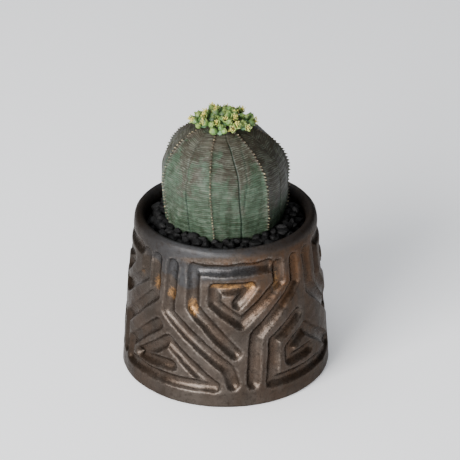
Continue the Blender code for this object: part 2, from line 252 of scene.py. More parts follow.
@dataclass
class Shell:
    """One mesh in the making: patches with a value of each shade at every point."""

    patches: list[Patch] = field(default_factory=list)
    shades: list[dict[str, Array | float]] = field(default_factory=list)

    def add(self, patch: Patch, **shades: Array | float) -> None:
        """Adds a patch, with shades given as one number or as one number for each of its points."""
        self.patches.append(patch)
        self.shades.append(shades)

    def piece(
        self, name: str, nodes: Sequence[str], slot: Slot, finish: Any, facet_angle: float | None = None
    ) -> None:
        """Makes the object that stands for CAD nodes, and dresses it.

        Args:
            name: the object's name.
            nodes: the CAD nodes that it stands for.
            slot: the record's slot for the piece; not used.
            finish: the finish that gives its material.
            facet_angle: degrees above which an edge stays sharp, or None for a smooth piece.
        """
        starts = np.cumsum([0, *(len(p.points) for p in self.patches)])
        points = np.concatenate([p.points for p in self.patches]) * MM
        quads = np.concatenate([p.quads + start for p, start in zip(self.patches, starts)])
        triangles = np.concatenate([p.triangles + start for p, start in zip(self.patches, starts)])
        mesh = bpy.data.meshes.new(name)
        mesh.vertices.add(len(points))
        mesh.vertices.foreach_set("co", points.astype(np.float32).ravel())
        mesh.loops.add(quads.size + triangles.size)
        corners = np.concatenate([quads.ravel(), triangles.ravel()])
        mesh.loops.foreach_set("vertex_index", corners.astype(np.int32))
        mesh.polygons.add(len(quads) + len(triangles))
        sizes = np.repeat([4, 3], [len(quads), len(triangles)])
        mesh.polygons.foreach_set("loop_start", (np.cumsum(sizes) - sizes).astype(np.int32))
        mesh.update(calc_edges=True)
        mesh.validate()
        mesh.shade_smooth()
        if facet_angle is not None:
            mesh.set_sharp_from_angle(angle=math.radians(facet_angle))
        for shade in sorted({key for shades in self.shades for key in shades}):
            pairs = zip(self.patches, self.shades)
            values = [np.broadcast_to(shades.get(shade, 0.0), len(patch.points)) for patch, shades in pairs]
            attribute = mesh.attributes.new(shade, "FLOAT", "POINT")
            attribute.data.foreach_set("value", np.concatenate(values).astype(np.float32))
        mesh.materials.append(material_of(finish))
        piece = add_object(name, mesh)
        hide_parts(*nodes)
        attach(piece, "root")
        log.info("%s: %d faces for %s", name, len(mesh.polygons), ", ".join(nodes))


# ---------------- shaders


class Level:
    """A value in a shader, on which sums are written as Python expressions."""

    def __init__(self, shader: Shader, socket: bpy.types.NodeSocket) -> None:
        """Wraps a socket of a shader."""
        self.shader = shader
        self.socket = socket

    def math(self, operation: str, *others: Any) -> Level:
        """The result of a Math node whose first number is this value."""
        return self.shader.sum_of(operation, self, *others)

    def __rsub__(self, other: Any) -> Level:
        """Another value less this one."""
        return self.shader.sum_of("SUBTRACT", other, self)

    __add__ = __radd__ = partialmethod(math, "ADD")
    __mul__ = __rmul__ = partialmethod(math, "MULTIPLY")
    __sub__ = partialmethod(math, "SUBTRACT")
    __pow__ = partialmethod(math, "POWER")

    def wave(self, pitch: float) -> Level:
        """A sine between 0 and 1 that repeats with this value."""
        return (self * (2 * math.pi / pitch)).math("SINE") * 0.5 + 0.5

    def between(self, low: float, high: float) -> Level:
        """Rises smoothly from 0 where this value is low to 1 where it is high."""
        inputs = {"Value": self, "From Min": low, "From Max": high}
        node = self.shader.node("MapRange", inputs, interpolation_type="SMOOTHSTEP")
        return Level(self.shader, node.outputs["Result"])


class Shader:
    """A material in the making, around one Principled BSDF."""

    def __init__(self, name: str) -> None:
        """Starts a material with its node tree emptied."""
        self.made = bpy.data.materials.new(name)
        self.made.use_nodes = True
        self.tree = self.made.node_tree
        self.tree.nodes.clear()
        self.place = self.node("TexCoord").outputs["Object"]

    def node(self, kind: str, inputs: dict[Any, Any] | None = None, **settings: Any) -> bpy.types.Node:
        """Adds a node.

        Args:
            kind: the node's type, after ShaderNode.
            inputs: values, levels or sockets for its inputs, by name or number.
            settings: its properties, which are set first.

        Returns:
            The node.
        """
        made = self.tree.nodes.new("ShaderNode" + kind)
        for key, value in settings.items():
            setattr(made, key, value)
        for key, value in (inputs or {}).items():
            source = value.socket if isinstance(value, Level) else value
            if isinstance(source, bpy.types.NodeSocket):
                self.tree.links.new(source, made.inputs[key])
            elif isinstance(source, tuple) and len(source) == 3 and made.inputs[key].type == "RGBA":
                made.inputs[key].default_value = (*source, 1.0)
            else:
                made.inputs[key].default_value = source
        return made

    def sum_of(self, operation: str, *numbers: Any) -> Level:
        """A Math node on values or levels."""
        node = self.node("Math", dict(enumerate(numbers)), operation=operation)
        return Level(self, node.outputs["Value"])

    def shade(self, name: str) -> Level:
        """One of the piece's own shades."""
        return Level(self, self.node("Attribute", attribute_name=name).outputs["Fac"])

    def grain(
        self, size: float, detail: float = 4.0, stretch: Triple = (1.0, 1.0, 1.0), offset: float = 0.0
    ) -> Level:
        """Cloudy noise, 0 to 1, whose lumps are about a size in millimetres.

        Args:
            size: the size of the largest lumps.
            detail: how many finer octaves are added.
            stretch: how much denser it is along x, y and z.
            offset: how far it is moved, so that two grains of a size differ.

        Returns:
            The noise's level.
        """
        placing = {"Vector": self.place, "Scale": stretch, "Location": (offset, offset, offset)}
        placed = self.node("Mapping", placing).outputs["Vector"]
        inputs = {"Vector": placed, "Scale": 1 / (size * MM), "Detail": detail, "Roughness": 0.6}
        return Level(self, self.node("TexNoise", inputs).outputs["Fac"])

    def cells(self, size: float) -> Level:
        """Distance to the nearest of scattered points that are about a size in millimetres apart."""
        inputs = {"Vector": self.place, "Scale": 1 / (size * MM)}
        return Level(self, self.node("TexVoronoi", inputs).outputs["Distance"])

    def layers(self, colour: Any, *coats: tuple[Any, Any]) -> bpy.types.NodeSocket:
        """A colour with others laid over it in order, each given as a factor and a colour."""
        for factor, coat in coats:
            colour = self.node("Mix", {0: factor, 6: colour, 7: coat}, data_type="RGBA").outputs[2]
        return colour

    def bump(
        self, height: Level, depth: float, normal: bpy.types.NodeSocket | None = None
    ) -> bpy.types.NodeSocket:
        """A Bump node.

        Args:
            height: the relief, 0 to 1.
            depth: how deep a relief of 1 is, in millimetres.
            normal: an earlier bump's normal to add to, if any.

        Returns:
            The bumped normal's socket.
        """
        inputs = {"Height": height, "Distance": depth * MM, "Strength": 1.0}
        if normal is not None:
            inputs["Normal"] = normal
        return self.node("Bump", inputs).outputs["Normal"]

    def finish(self, **sockets: Any) -> bpy.types.Material:
        """Joins the Principled BSDF to the output.

        Args:
            sockets: its inputs, with underscores for the spaces in their names.

        Returns:
            The material.
        """
        inputs = {key.replace("_", " "): value for key, value in sockets.items()}
        skin = self.node("BsdfPrincipled", inputs)
        self.node("OutputMaterial", {"Surface": skin.outputs["BSDF"]})
        return self.made


@cache
def material_of(finish: Any) -> bpy.types.Material:
    """A finish's material, made once and shared."""
    return finish.material()


@dataclass(frozen=True)
class BronzeGlaze:
    """The pot's dry metallic glaze: brown-grey on the wall, slate on the rim, gilded where it ran thick."""

    clay: Triple = (0.054, 0.045, 0.038)
    umber: Triple = (0.017, 0.012, 0.0085)
    slate: Triple = (0.033, 0.035, 0.038)
    rust_shade_and_sheen: Triple = (0.074, 0.035, 0.015)
    gilt: Triple = (0.255, 0.131, 0.046)
    rubbed_and_sheen: Triple = (0.136, 0.120, 0.107)
    speck: Triple = (0.0068, 0.0057, 0.0051)
    painted_inner_shade: Triple = (0.0095, 0.0085, 0.0085)

    def material(self) -> bpy.types.Material:
        """The glaze's material, which reads the shades carve, edge, rim, warm, slate, gilt, dusk and inside."""
        shader = Shader("bronze_glaze")
        shade = shader.shade
        carve, edge, rim = shade("carve"), shade("edge"), shade("rim")
        clouds, fine, specks = shader.grain(14), shader.grain(2.2, 6), shader.grain(0.55, 3, offset=3.0)
        streaks, mottle = shader.grain(9, 5, (1.0, 1.0, 0.25), 1.0), shader.grain(1.1, 5, offset=5.0)
        # rust streaks, with painted shade on the lower left wall and painted sheen on the rim's front, both
        # brought in through warm
        stain_shade_and_sheen = (shade("warm") + carve * 0.12 + edge * 0.10) * streaks.between(0.3, 0.65)
        slate = (shade("slate") + (streaks - 0.5) * 0.8 + (mottle - 0.5) * 0.5).between(0.28, 0.72)
        gilt = (shade("gilt") + (mottle - 0.5) * 1.3 + (clouds - 0.5) * 0.3).between(0.35, 0.95)
        colour = shader.layers(
            self.clay,
            (clouds.between(0.36, 0.66) * 0.6, self.umber),
            (stain_shade_and_sheen * 0.9, self.rust_shade_and_sheen),
            (slate * 0.85, self.slate),
            # rubbed colour on the channels' edges, and painted sheen on the rim's front
            (edge * mottle.between(0.4, 0.65) * 0.5, self.rubbed_and_sheen),
            (fine.between(0.50, 0.68) * 0.55, self.umber),
            (gilt * (0.30 + specks.between(0.35, 0.55) * 0.6), self.gilt),
            (gilt * fine.between(0.45, 0.6) * 0.7, self.umber),
            (specks.between(0.58, 0.70) * 0.6, self.speck),
            # painted shade on the wall's far sides and in the pit
            (shade("dusk") * (0.35 + clouds * 0.6), self.umber),
            # painted shade inside the pot
            (shade("inside"), self.painted_inner_shade),
        )
        gloss = 0.38 + (mottle - 0.5) * 0.45 + (clouds - 0.5) * 0.2 - carve * 0.10
        return shader.finish(
            Base_Color=colour,
            Roughness=gloss + rim * 0.16 - gilt * 0.05,
            Metallic=0.68,
            Coat_Weight=0.08,
            Coat_Roughness=0.25,
            Specular_IOR_Level=0.2,
            Specular_Tint=(0.45, 0.43, 0.41),
            Normal=shader.bump(specks, 0.07, shader.bump(mottle, 0.14, shader.bump(clouds, 0.3))),
        )


@dataclass(frozen=True)
class LavaGravel:
    """Black lava stone: matte, pitted, with greyer broken faces."""

    black: Triple = (0.0015, 0.0015, 0.0017)
    grey: Triple = (0.0078, 0.0076, 0.0079)
    pitted: Triple = (0.0024, 0.0024, 0.0024)

    def material(self) -> bpy.types.Material:
        """The stone's material, which reads the shade tone."""
        shader = Shader("lava_gravel")
        fine, pits, lumps = shader.grain(1.1, 6), shader.cells(0.55), shader.grain(5)
        factor = (shader.shade("tone") + (lumps - 0.5) * 0.8 + (fine - 0.5) * 0.7).between(0.15, 0.95)
        colour = shader.layers(self.black, (factor, self.grey), (pits.between(0.28, 0.05), self.pitted))
        relief = shader.bump(pits.between(0.0, 0.4), 0.16, shader.bump(fine, 0.35))
        return shader.finish(
            Base_Color=colour, Roughness=0.46 + fine * 0.35, Specular_IOR_Level=0.20, Normal=relief
        )


@dataclass(frozen=True)
class RibbedSkin:
    """The stem's waxy skin: grey-green, crossed by fine pale lines and purplish bands, with tan teeth."""

    green: Triple = (0.026, 0.050, 0.030)
    moss: Triple = (0.0096, 0.021, 0.0096)
    pale: Triple = (0.107, 0.119, 0.094)
    plum: Triple = (0.021, 0.018, 0.012)
    tan: Triple = (0.286, 0.230, 0.138)
    bark: Triple = (0.021, 0.012, 0.0066)
    crease: Triple = (0.0051, 0.014, 0.0072)
    cork: Triple = (0.056, 0.043, 0.030)
    rooted: Triple = (0.118, 0.082, 0.051)
    line_pitch: float = 1.15
    fold_pitch: float = 3.1

    def material(self) -> bpy.types.Material:
        """The skin's material, which reads the nine shades that the stem gives."""
        shader = Shader("ribbed_skin")
        shade = shader.shade
        arc, side = shade("arc"), shade("side")
        clouds, fine, soft = shader.grain(8, 6), shader.grain(0.7, 5), shader.grain(12, 2, offset=2.0)
        broken = shader.grain(3.4, 5, (0.8, 0.8, 1.5), 4.0)
        down = shader.grain(3.6, 4, (1.3, 1.3, 0.3), 6.0)
        flow = arc + soft * 4.2 + side * 2.2 + (fine - 0.5) * 0.12
        line, fold = flow.wave(self.line_pitch), flow.wave(self.fold_pitch)
        pale = line**4 * (broken + (fine - 0.5) * 0.35).between(0.38, 0.64)
        dark = (1 - line) ** 3 * (1 - broken + (fine - 0.5) * 0.35).between(0.36, 0.62)
        band = (shade("band") + (clouds - 0.5) * 1.7 + (down - 0.5) * 1.1).between(0.25, 0.75)
        veins = (shader.grain(6.5, 4, (1.0, 1.0, 0.13), 9.0) - 0.5).math("ABSOLUTE").between(0.014, 0.0)
        colour = shader.layers(
            self.green,
            (down.between(0.38, 0.62) * 0.75, self.moss),
            # band holds the purple bands and painted shade on the stem's right half
            (band * 0.88, self.plum),
            (pale * (band * 0.30 + 0.42), self.pale),
            (dark * 0.72, self.bark),
            (veins * (0.25 + band * 0.45), self.bark),
            (fold**3 * broken.between(0.45, 0.7) * 0.30, self.pale),
            (clouds.between(0.50, 0.72) * 0.34, self.pale),
            (shade("age") * clouds.between(0.3, 0.7) * 0.40, self.cork),
            # painted shade in the furrows and the second crease
            (shade("crease") * (0.62 + fine * 0.7), self.crease),
            # painted shade between the teeth
            (shade("gap") * 0.7, self.bark),
            (shade("tooth").between(0.45, 0.85) * (0.4 + fine * 0.8), self.tan),
            (shade("tip") * 0.85, self.bark),
            (shade("root"), self.rooted),
        )
        relief = shader.bump(fold, 0.14, shader.bump(fine, 0.06, shader.bump(clouds, 0.35)))
        return shader.finish(
            Base_Color=colour,
            Roughness=0.56 + (fine - 0.5) * 0.25,
            Specular_IOR_Level=0.26,
            Subsurface_Weight=0.06,
            Subsurface_Radius=(0.0012, 0.0016, 0.0008),
            Normal=shader.bump(line, 0.06, relief),
        )


@dataclass(frozen=True)
class FlowerTissue:
    """The flower heads and their stalks: pale stalks, green cups, yellow anthers and dark red centres."""

    cup: Triple = (0.055, 0.121, 0.024)
    deep: Triple = (0.013, 0.035, 0.012)
    stalk: Triple = (0.102, 0.200, 0.102)
    lip: Triple = (0.230, 0.302, 0.072)
    anther: Triple = (0.570, 0.500, 0.110)
    centre: Triple = (0.042, 0.0060, 0.0049)
    fresh: Triple = (0.145, 0.254, 0.060)
    freckle: Triple = (0.049, 0.091, 0.018)

    def material(self) -> bpy.types.Material:
        """The tissue's material, which reads the shades tone, stalk, lip, anther and centre."""
        shader = Shader("flower_tissue")
        shade = shader.shade
        fine, clouds = shader.grain(0.5, 4), shader.grain(2.5, 4)
        colour = shader.layers(
            self.cup,
            (clouds.between(0.3, 0.7) * 0.5, self.fresh),
            (shade("tone") * 0.90, self.deep),
            (shade("stalk"), self.stalk),
            (shade("lip") * (0.6 + fine * 0.4), self.lip),
            (shade("centre"), self.centre),
            (shade("anther"), self.anther),
            (fine.between(0.6, 0.85) * 0.25, self.freckle),
        )
        return shader.finish(
            Base_Color=colour,
            Roughness=0.42 + fine * 0.2,
            Subsurface_Weight=0.15,
            Subsurface_Radius=(0.001, 0.0014, 0.0005),
            Normal=shader.bump(fine, 0.06),
        )


@dataclass(frozen=True)
class Crumb:
    """A loose filling seen as one mass: grains of two colours, with painted shade in the gaps between them."""

    name: str
    light: Triple
    dark: Triple
    size: float
    gap: Triple = (0.02, 0.015, 0.01)

    def material(self) -> bpy.types.Material:
        """The filling's material, from Object coordinates alone."""
        shader = Shader(self.name)
        grains, clouds = shader.cells(self.size), shader.grain(self.size * 3, 5)
        # the second coat is painted shade in the gaps between grains
        coats = ((clouds.between(0.35, 0.65), self.dark), (grains.between(0.35, 0.8), self.gap))
        relief = shader.bump(1 - grains, self.size * 0.3, shader.bump(clouds, self.size * 0.2))
        return shader.finish(Base_Color=shader.layers(self.light, *coats), Roughness=0.9, Normal=relief)


@dataclass(frozen=True)
class MouldedPlastic:
    """Black moulded plastic with a fine matte texture and a little dust."""

    black: Triple = (0.012, 0.013, 0.012)
    dust: Triple = (0.10, 0.085, 0.065)

    def material(self) -> bpy.types.Material:
        """The plastic's material."""
        shader = Shader("moulded_plastic")
        fine, clouds = shader.grain(0.3, 3), shader.grain(5)
        colour = shader.layers(self.black, (clouds.between(0.5, 0.8) * 0.5, self.dust))
        return shader.finish(Base_Color=colour, Roughness=0.42 + fine * 0.25, Normal=shader.bump(fine, 0.04))


@dataclass(frozen=True)
class PaleFloor:
    """A plain pale matte floor."""

    colour: Triple = (0.88, 0.885, 0.90)
    glow: float = 0.30

    def material(self) -> bpy.types.Material:
        """The floor's material."""
        shader = Shader("pale_floor")
        glow = {"Emission_Color": (0.90, 0.93, 0.97), "Emission_Strength": self.glow}
        return shader.finish(Base_Color=self.colour, Roughness=0.75, Specular_IOR_Level=0.2, **glow)


# ---------------- pot


@dataclass
class CarvedPot:
    """The tapered pot: a profile turned round the axis, with U-shaped channels pressed into its wall."""

    height: float
    base_radius: float
    flare: float = 8.2
    bow: float = 0.9
    wall: float = 6.3
    floor: float = 8.0
    drain: float = 7.0
    foot_round: float = 1.6
    lip_drop: float = 5.0
    columns: int = 540
    wall_rows: int = 150
    channel_width: float = 7.4
    channel_depth: float = 2.7
    lowest_line: float = 12.7
    highest_line: float = 82.1
    pit_azimuth: float = -57.0
    pit_height: float = 20.0
    pit_depth: float = 1.4

    # Each carved line's points: azimuth, and percent of the height from the lowest line to the highest.
    # The front and right quarters are here, and the other two repeat them half a turn round.
    LINES = (
        ((5.5, 29), (-19.8, 67), (-19.3, 99), (26.5, 100)),
        ((33.3, 98), (33.3, 83), (8.8, 54.5), (-6.5, 72), (-6.3, 84), (15.5, 84), (7, 72)),
        ((45.8, 98.5), (46, 79), (17, 42), (15, 2)),
        ((-34, 98), (-35, 58), (1.5, 15.5), (4.3, 2)),
        ((45.5, 51.5), (28.7, 35), (26.5, 0.5), (84, 0.5), (51, 36.5), (39, 25), (39, 15), (54, 16)),
        ((57.5, 98), (58, 68), (92, 25), (94, 2)),
        ((95.5, 29), (70, 67.5), (70.5, 99), (116.5, 99)),
        ((124.5, 98), (124.5, 80), (99, 54.5), (84, 72), (84, 84), (105.5, 84), (97, 72)),
        ((134, 98.5), (134, 68), (105, 30.5), (104, 2)),
        ((137.5, 44.5), (113.5, 15.5), (112, 0), (173.5, 0), (145.5, 33), (124, 10.5), (148, 12.5)),
    )
    # Gilded spots in the glaze: azimuth, height, half-width in degrees, half-height, strength.
    GILDING = (
        (-62, 72, 2.6, 7.0, 0.75),
        (-46, 66, 3.0, 5.5, 0.95),
        (-34, 63.5, 4.2, 3.6, 1.15),
        (-27, 61.5, 3.0, 2.2, 0.80),
        (-20, 57.5, 3.8, 6.0, 1.30),
        (-4, 72, 8.0, 2.0, 0.85),
        (5, 71.5, 9.0, 1.8, 0.75),
        (15.5, 71.5, 2.6, 2.6, 1.20),
        (32, 72, 3.2, 7.0, 0.85),
        (2, 86.5, 24.0, 1.4, 0.42),
        (58, 78, 3.0, 8.0, 0.45),
        (-62, 70, 3.0, 8.0, 0.45),
        (128, 70, 3.5, 6.0, 0.75),
        (160, 62, 3.5, 6.0, 0.80),
        (-160, 66, 3.5, 5.0, 0.80),
        (-110, 72, 6.0, 4.0, 0.70),
    )

    def radius(self, height: Array) -> Array:
        """The outside radius: a straight taper plus a bow that is a parabola in the height."""
        share = height / self.height
        return self.base_radius - self.flare * share + self.bow * 4 * share * (1 - share)

    def line_height(self, percent: float) -> float:
        """The height of a share of the carved band."""
        return self.lowest_line + (self.highest_line - self.lowest_line) * percent / 100

    def distance_to_lines(self, azimuth: Array, height: Array) -> Array:
        """The distance over the wall from each point to the nearest carved line.

        Azimuths become lengths by the wall's radius at the point, and the distance is the least over all
        straight stretches of the usual distance from a point to a segment.
        """
        radius = self.radius(height)
        nearest = np.full(np.broadcast(azimuth, height).shape, 1e3)
        for half_turn in (0.0, 180.0):
            for line in self.LINES:
                for (az_a, pc_a), (az_b, pc_b) in zip(line, line[1:]):
                    across = np.radians(turn_between(azimuth, az_a + half_turn)) * radius
                    up = height - self.line_height(pc_a)
                    run = math.radians(az_b - az_a) * radius
                    rise = self.line_height(pc_b) - self.line_height(pc_a)
                    share = np.clip((across * run + up * rise) / (run * run + rise * rise), 0, 1)
                    nearest = np.minimum(nearest, np.hypot(across - run * share, up - rise * share))
        return nearest

    def profile(self) -> tuple[Array, Array]:
        """The section's radii and heights, from the drain hole out, up, over the lip and back down inside."""
        turn = np.radians(np.linspace(-90, 0, 6))[:-1]
        foot = self.foot_round * np.array([np.cos(turn) - 1, np.sin(turn) + 1])
        shoulder = self.height - self.lip_drop
        wall = np.linspace(self.foot_round, shoulder, self.wall_rows)
        half = self.wall / 2
        turn = np.radians(np.linspace(0, 180, 17))[1:]
        lip = (self.radius(shoulder) - half + half * np.cos(turn), shoulder + self.lip_drop * np.sin(turn))
        inside = np.concatenate([np.linspace(shoulder - 1.5, 80, 4), np.linspace(74, self.floor + 4, 5)])
        inner = float(self.radius(self.floor) - self.wall)
        radii = np.concatenate([
            np.linspace(self.drain + 0.5, self.base_radius - 3, 5),
            self.base_radius + foot[0], self.radius(wall), lip[0], self.radius(inside) - self.wall,
            [inner - 1.2, inner - 4, 30, self.drain + 0.5, self.drain, self.drain],
        ])
        heights = np.concatenate([
            np.zeros(5),
            foot[1], wall, lip[1], inside,
            [self.floor + 1.2, self.floor, self.floor, self.floor, self.floor - 0.5, 0.5],
        ])
        return radii, heights

    def build(self) -> None:
        """Turns the profile, presses the channels in and works out where each tone of the glaze lies."""
        radii, heights = self.profile()
        azimuth = np.arange(self.columns)[None, :] * 360 / self.columns - 180
        height = np.repeat(heights[:, None], self.columns, axis=1)
        outside = (np.cumsum(heights >= self.height - 0.01) == 0) & (radii > self.base_radius - 14)
        place = polar(azimuth, self.base_radius, height)
        distance = self.distance_to_lines(azimuth, height)
        distance = distance + 0.16 * Ripples(17, 5).at(place) + 0.06 * Ripples(5, 6).at(place)
        half = self.channel_width / 2
        bowl = np.clip(1 - np.clip(distance / half, 0, 1) ** 2.0, 0, 1) ** 0.82
        carve = (0.86 * bowl + 0.14 * smoothstep(-1.0, 1.0, half - distance)) * outside[:, None]
        from_pit = np.radians(turn_between(azimuth, self.pit_azimuth)) * 56
        pit = bell(np.hypot(from_pit, height - self.pit_height), 1.3) * outside[:, None]
        slump = 0.10 * Ripples(30, 8).at(place) + 0.035 * Ripples(7, 9).at(place)
        radius = radii[:, None] - self.channel_depth * carve - self.pit_depth * pit + slump * outside[:, None]
        edge = bell(distance - half - 0.5, 0.75) * outside[:, None]
        gilt = np.zeros_like(carve)
        # painted shade: umber darkening over the wall's far left and far right, where the light falls off, and
        # in the pit
        dusk = 1.3 * around(azimuth, -80, 34) + 0.9 * around(azimuth, 72, 36) + 2.2 * pit
        for az, z, wide, tall, strength in self.GILDING:
            gilt += strength * around(azimuth, az, wide) * bell(height - z, tall)
        gilt *= 0.25 + 0.75 * smoothstep(0.1, 0.6, carve)
        rim = smoothstep(self.height - 7.5, self.height - 3.5, height)
        shore = 66 + 0.30 * np.abs(turn_between(azimuth, -20)) + 1.5 * Ripples(14, 12).at(place)
        left = around(azimuth, -40, 28) * smoothstep(shore - 2, shore + 4, height)
        sill = around(azimuth, 4, 19) * bell(height - 80.5, 4.5) * 1.1
        # front: painted sheen on the rim band's front, laid in as more rubbed colour and rust tint and less
        # slate
        front = around(azimuth, -2, 30) * bell(height - 86, 3.0)
        slate = rim * 0.55 + left + sill - front * 0.8
        edge = edge + front * 0.55
        warm = around(azimuth, 45, 42) * smoothstep(42, 80, height) + around(azimuth, 80, 60) * 0.60
        # painted shade: a rust-brown tint over the lower left wall, where the light falls off
        painted_low_left_shade = around(azimuth, -80, 30) * smoothstep(66, 46, height)
        warm = warm * (1 - rim * 0.5) + front * 0.25 + 0.6 * painted_low_left_shade
        # painted shade: the inside wall, from just under the lip down, is painted near black
        inner = np.cumsum(heights >= self.height - 0.01)[:, None] > 2
        inside = inner * smoothstep(self.height - 0.5, self.height - 4, height)
        shades = dict(carve=carve, edge=edge, gilt=gilt, slate=slate)
        shades |= dict(warm=warm, inside=inside, rim=rim, dusk=dusk)
        shell = Shell()
        patch = grid_patch(polar(azimuth, radius, height), wrap_rows=True)
        shell.add(patch, **{name: values.ravel() for name, values in shades.items()})
        shell.piece("carved_pot", ["pot"], Slot.STONEWARE, BronzeGlaze())


# ---------------- stem


@dataclass
class RibbedStem:
    """The stem and its taproot: a closed skin over seven flat-sided ribs with a row of teeth on each."""

    gravel_line: float
    crown_height: float
    root_tip: float
    radius: float = 35.0
    dome: float = 29.4
    tuck: float = 1.9
    lean: float = 1.5
    offset: float = -0.75
    ribs: tuple[float, ...] = (-66.2, -11.8, 41.2, 92.4, 143.6, 194.8, 242.6)
    low_drift: float = 2.8
    high_drift: float = -3.7
    columns_per_rib: int = 60
    flatness: float = 0.43
    tooth_pitch: float = 1.95
    tooth_height: float = 1.2
    second_crease: float = 20.5
    full_side: float = -92.0
    row_step: float = 0.44

    def meridian(self) -> tuple[Array, Array, Array]:
        """Radius, height and distance along the skin for each row, from the root's tip to the crown.

        The root's radius grows with a power of the height, the barrel draws in towards the gravel with
        a square, and the dome is an ellipse with a shallow dimple at its top.
        """
        widest = self.crown_height - self.dome
        neck = self.radius - self.tuck
        low = np.linspace(self.root_tip, self.gravel_line - 4, 16)
        share = (low - self.root_tip) / (self.gravel_line - self.root_tip)
        root = 1.8 + (neck - 2.2) * share**1.7
        barrel = np.arange(self.gravel_line - 3.5, widest, self.row_step)
        above = np.clip((barrel - self.gravel_line) / (widest - self.gravel_line), -0.2, 1)
        side = self.radius - self.tuck * np.abs(1 - above) ** 2.2
        turn = np.linspace(0, 0.5 * np.pi, int(self.radius * 1.5 / self.row_step) + 1)[:-1]
        top = self.radius * np.cos(turn)
        crown = widest + self.dome * np.sin(turn) - 1.6 * bell(top, 6.0)
        radii = np.concatenate([root, side, top])
        heights = np.concatenate([low, barrel, crown])
        steps = np.hypot(np.diff(radii, prepend=radii[0]), np.diff(heights, prepend=heights[0]))
        arc = np.cumsum(steps)
        return radii, heights, arc - arc[len(root) + len(side)]

    def columns(self) -> tuple[Array, Array, Array]:
        """For each column: azimuth, turn from the nearest rib and turn from the furrow of its side.

        Columns crowd towards ribs and furrows, by a sine added to an even spacing.
        """
        even = np.arange(self.columns_per_rib) / self.columns_per_rib
        spaced = even - 0.6 * np.sin(4 * np.pi * even) / (4 * np.pi)
        azimuths, from_rib, from_furrow = [], [], []
        for rib, following in zip(self.ribs, (*self.ribs[1:], self.ribs[0] + 360)):
            width = following - rib
            azimuths.append(rib + width * spaced)
            from_rib.append(np.where(spaced < 0.5, spaced, spaced - 1) * width)
            from_furrow.append((spaced - 0.5) * width)
        return np.concatenate(azimuths), np.concatenate(from_rib), np.concatenate(from_furrow)

    def build(self) -> None:
        """Shapes the skin over its grid and works out where each colour lies."""
        radii, heights, arc = (values[:, None] for values in self.meridian())
        azimuth, from_rib, from_furrow = (values[None, :] for values in self.columns())
        half_side = np.abs(from_rib) + np.abs(from_furrow)
        flat = 1 - np.cos(np.radians(half_side)) / np.cos(np.radians(from_furrow))
        grown = smoothstep(self.gravel_line - 22, self.gravel_line - 2, heights)
        near_top = smoothstep(3.0, 15.0, radii)
        across = np.radians(from_rib) * radii
        beside = np.radians(from_furrow) * radii
        widest = self.crown_height - self.dome
        azimuth = azimuth + self.low_drift * np.clip((widest - heights) / (widest - self.gravel_line), 0, 1.3)
        azimuth = azimuth + self.high_drift * np.clip((heights - widest) / self.dome, 0, 1) ** 2
        place = polar(azimuth, radii, heights)
        wander = 0.5 * Ripples(16, 31).at(place)
        furrow = bell(beside + wander * 0.6, 0.42) * grown * near_top
        dip = bell(beside, 4.5) * grown * near_top
        split = np.radians(turn_between(azimuth, self.second_crease + 0.2 * arc + 0.004 * arc**2))
        second = bell(split * radii + wander * 0.4, 0.38) * smoothstep(-12, -4, arc) * smoothstep(30, 24, arc)
        beat = wave(arc + 0.25 * Ripples(9, 33).at(place), self.tooth_pitch)
        row = bell(across, 0.62) * grown * smoothstep(3.5, 8.0, radii)
        row = row * smoothstep(self.gravel_line, self.gravel_line + 4, heights)
        tooth = row * beat**2.2 * (1 + 0.22 * Ripples(2.6, 35).at(place))
        cord = bell(across, 1.5) * grown * near_top
        bent = arc - 0.16 * np.abs(across) + 0.35 * Ripples(11, 36).at(place)
        puckers = 0.08 * wave(bent, self.tooth_pitch) * bell(across, 14.0) * grown
        puckers = puckers + 0.16 * Ripples(13, 38).at(place) * grown
        relief = puckers + 0.30 * cord + self.tooth_height * tooth - 0.50 * furrow - 0.30 * dip - 0.35 * second
        full = 1 - 0.6 * around(azimuth, self.full_side, 22) * smoothstep(12, -4, arc)
        sunk = self.flatness * full * flat * grown * (0.35 + 0.65 * near_top)
        radius = radii * (1 - sunk) + relief * smoothstep(1.0, 6.0, radii)
        rise, run = np.gradient(heights[:, 0]), np.gradient(radii[:, 0])
        slope = rise / (np.hypot(rise, run) + 1e-9)
        height = heights + self.tooth_height * tooth * (1 - np.clip(slope, 0, 1))[:, None] * 0.6
        share = np.clip((heights - self.gravel_line) / (self.crown_height - self.gravel_line), 0, None)
        grid = polar(azimuth, radius, height)
        grid[..., 0] += self.offset - self.lean * share**3
        away = smoothstep(2.5, 12.0, np.abs(across))
        band = 0.16 * Ripples(30, 41).at(place * (0.4, 0.4, 1.0)) + 0.42 * away * smoothstep(-16, 4, arc)
        band = band + 0.80 * smoothstep(-8, 20, arc) - 0.22 * smoothstep(-4, -22, arc)
        fresh = around(azimuth, 34, 7.5) + 0.7 * around(azimuth, -57, 8)
        # painted shade: the first term here turns the right half, away from the light, darker plum
        band = band + 0.40 * smoothstep(36, 44, turn_between(azimuth, 2)) - 0.6 * fresh * smoothstep(24, 6, arc)
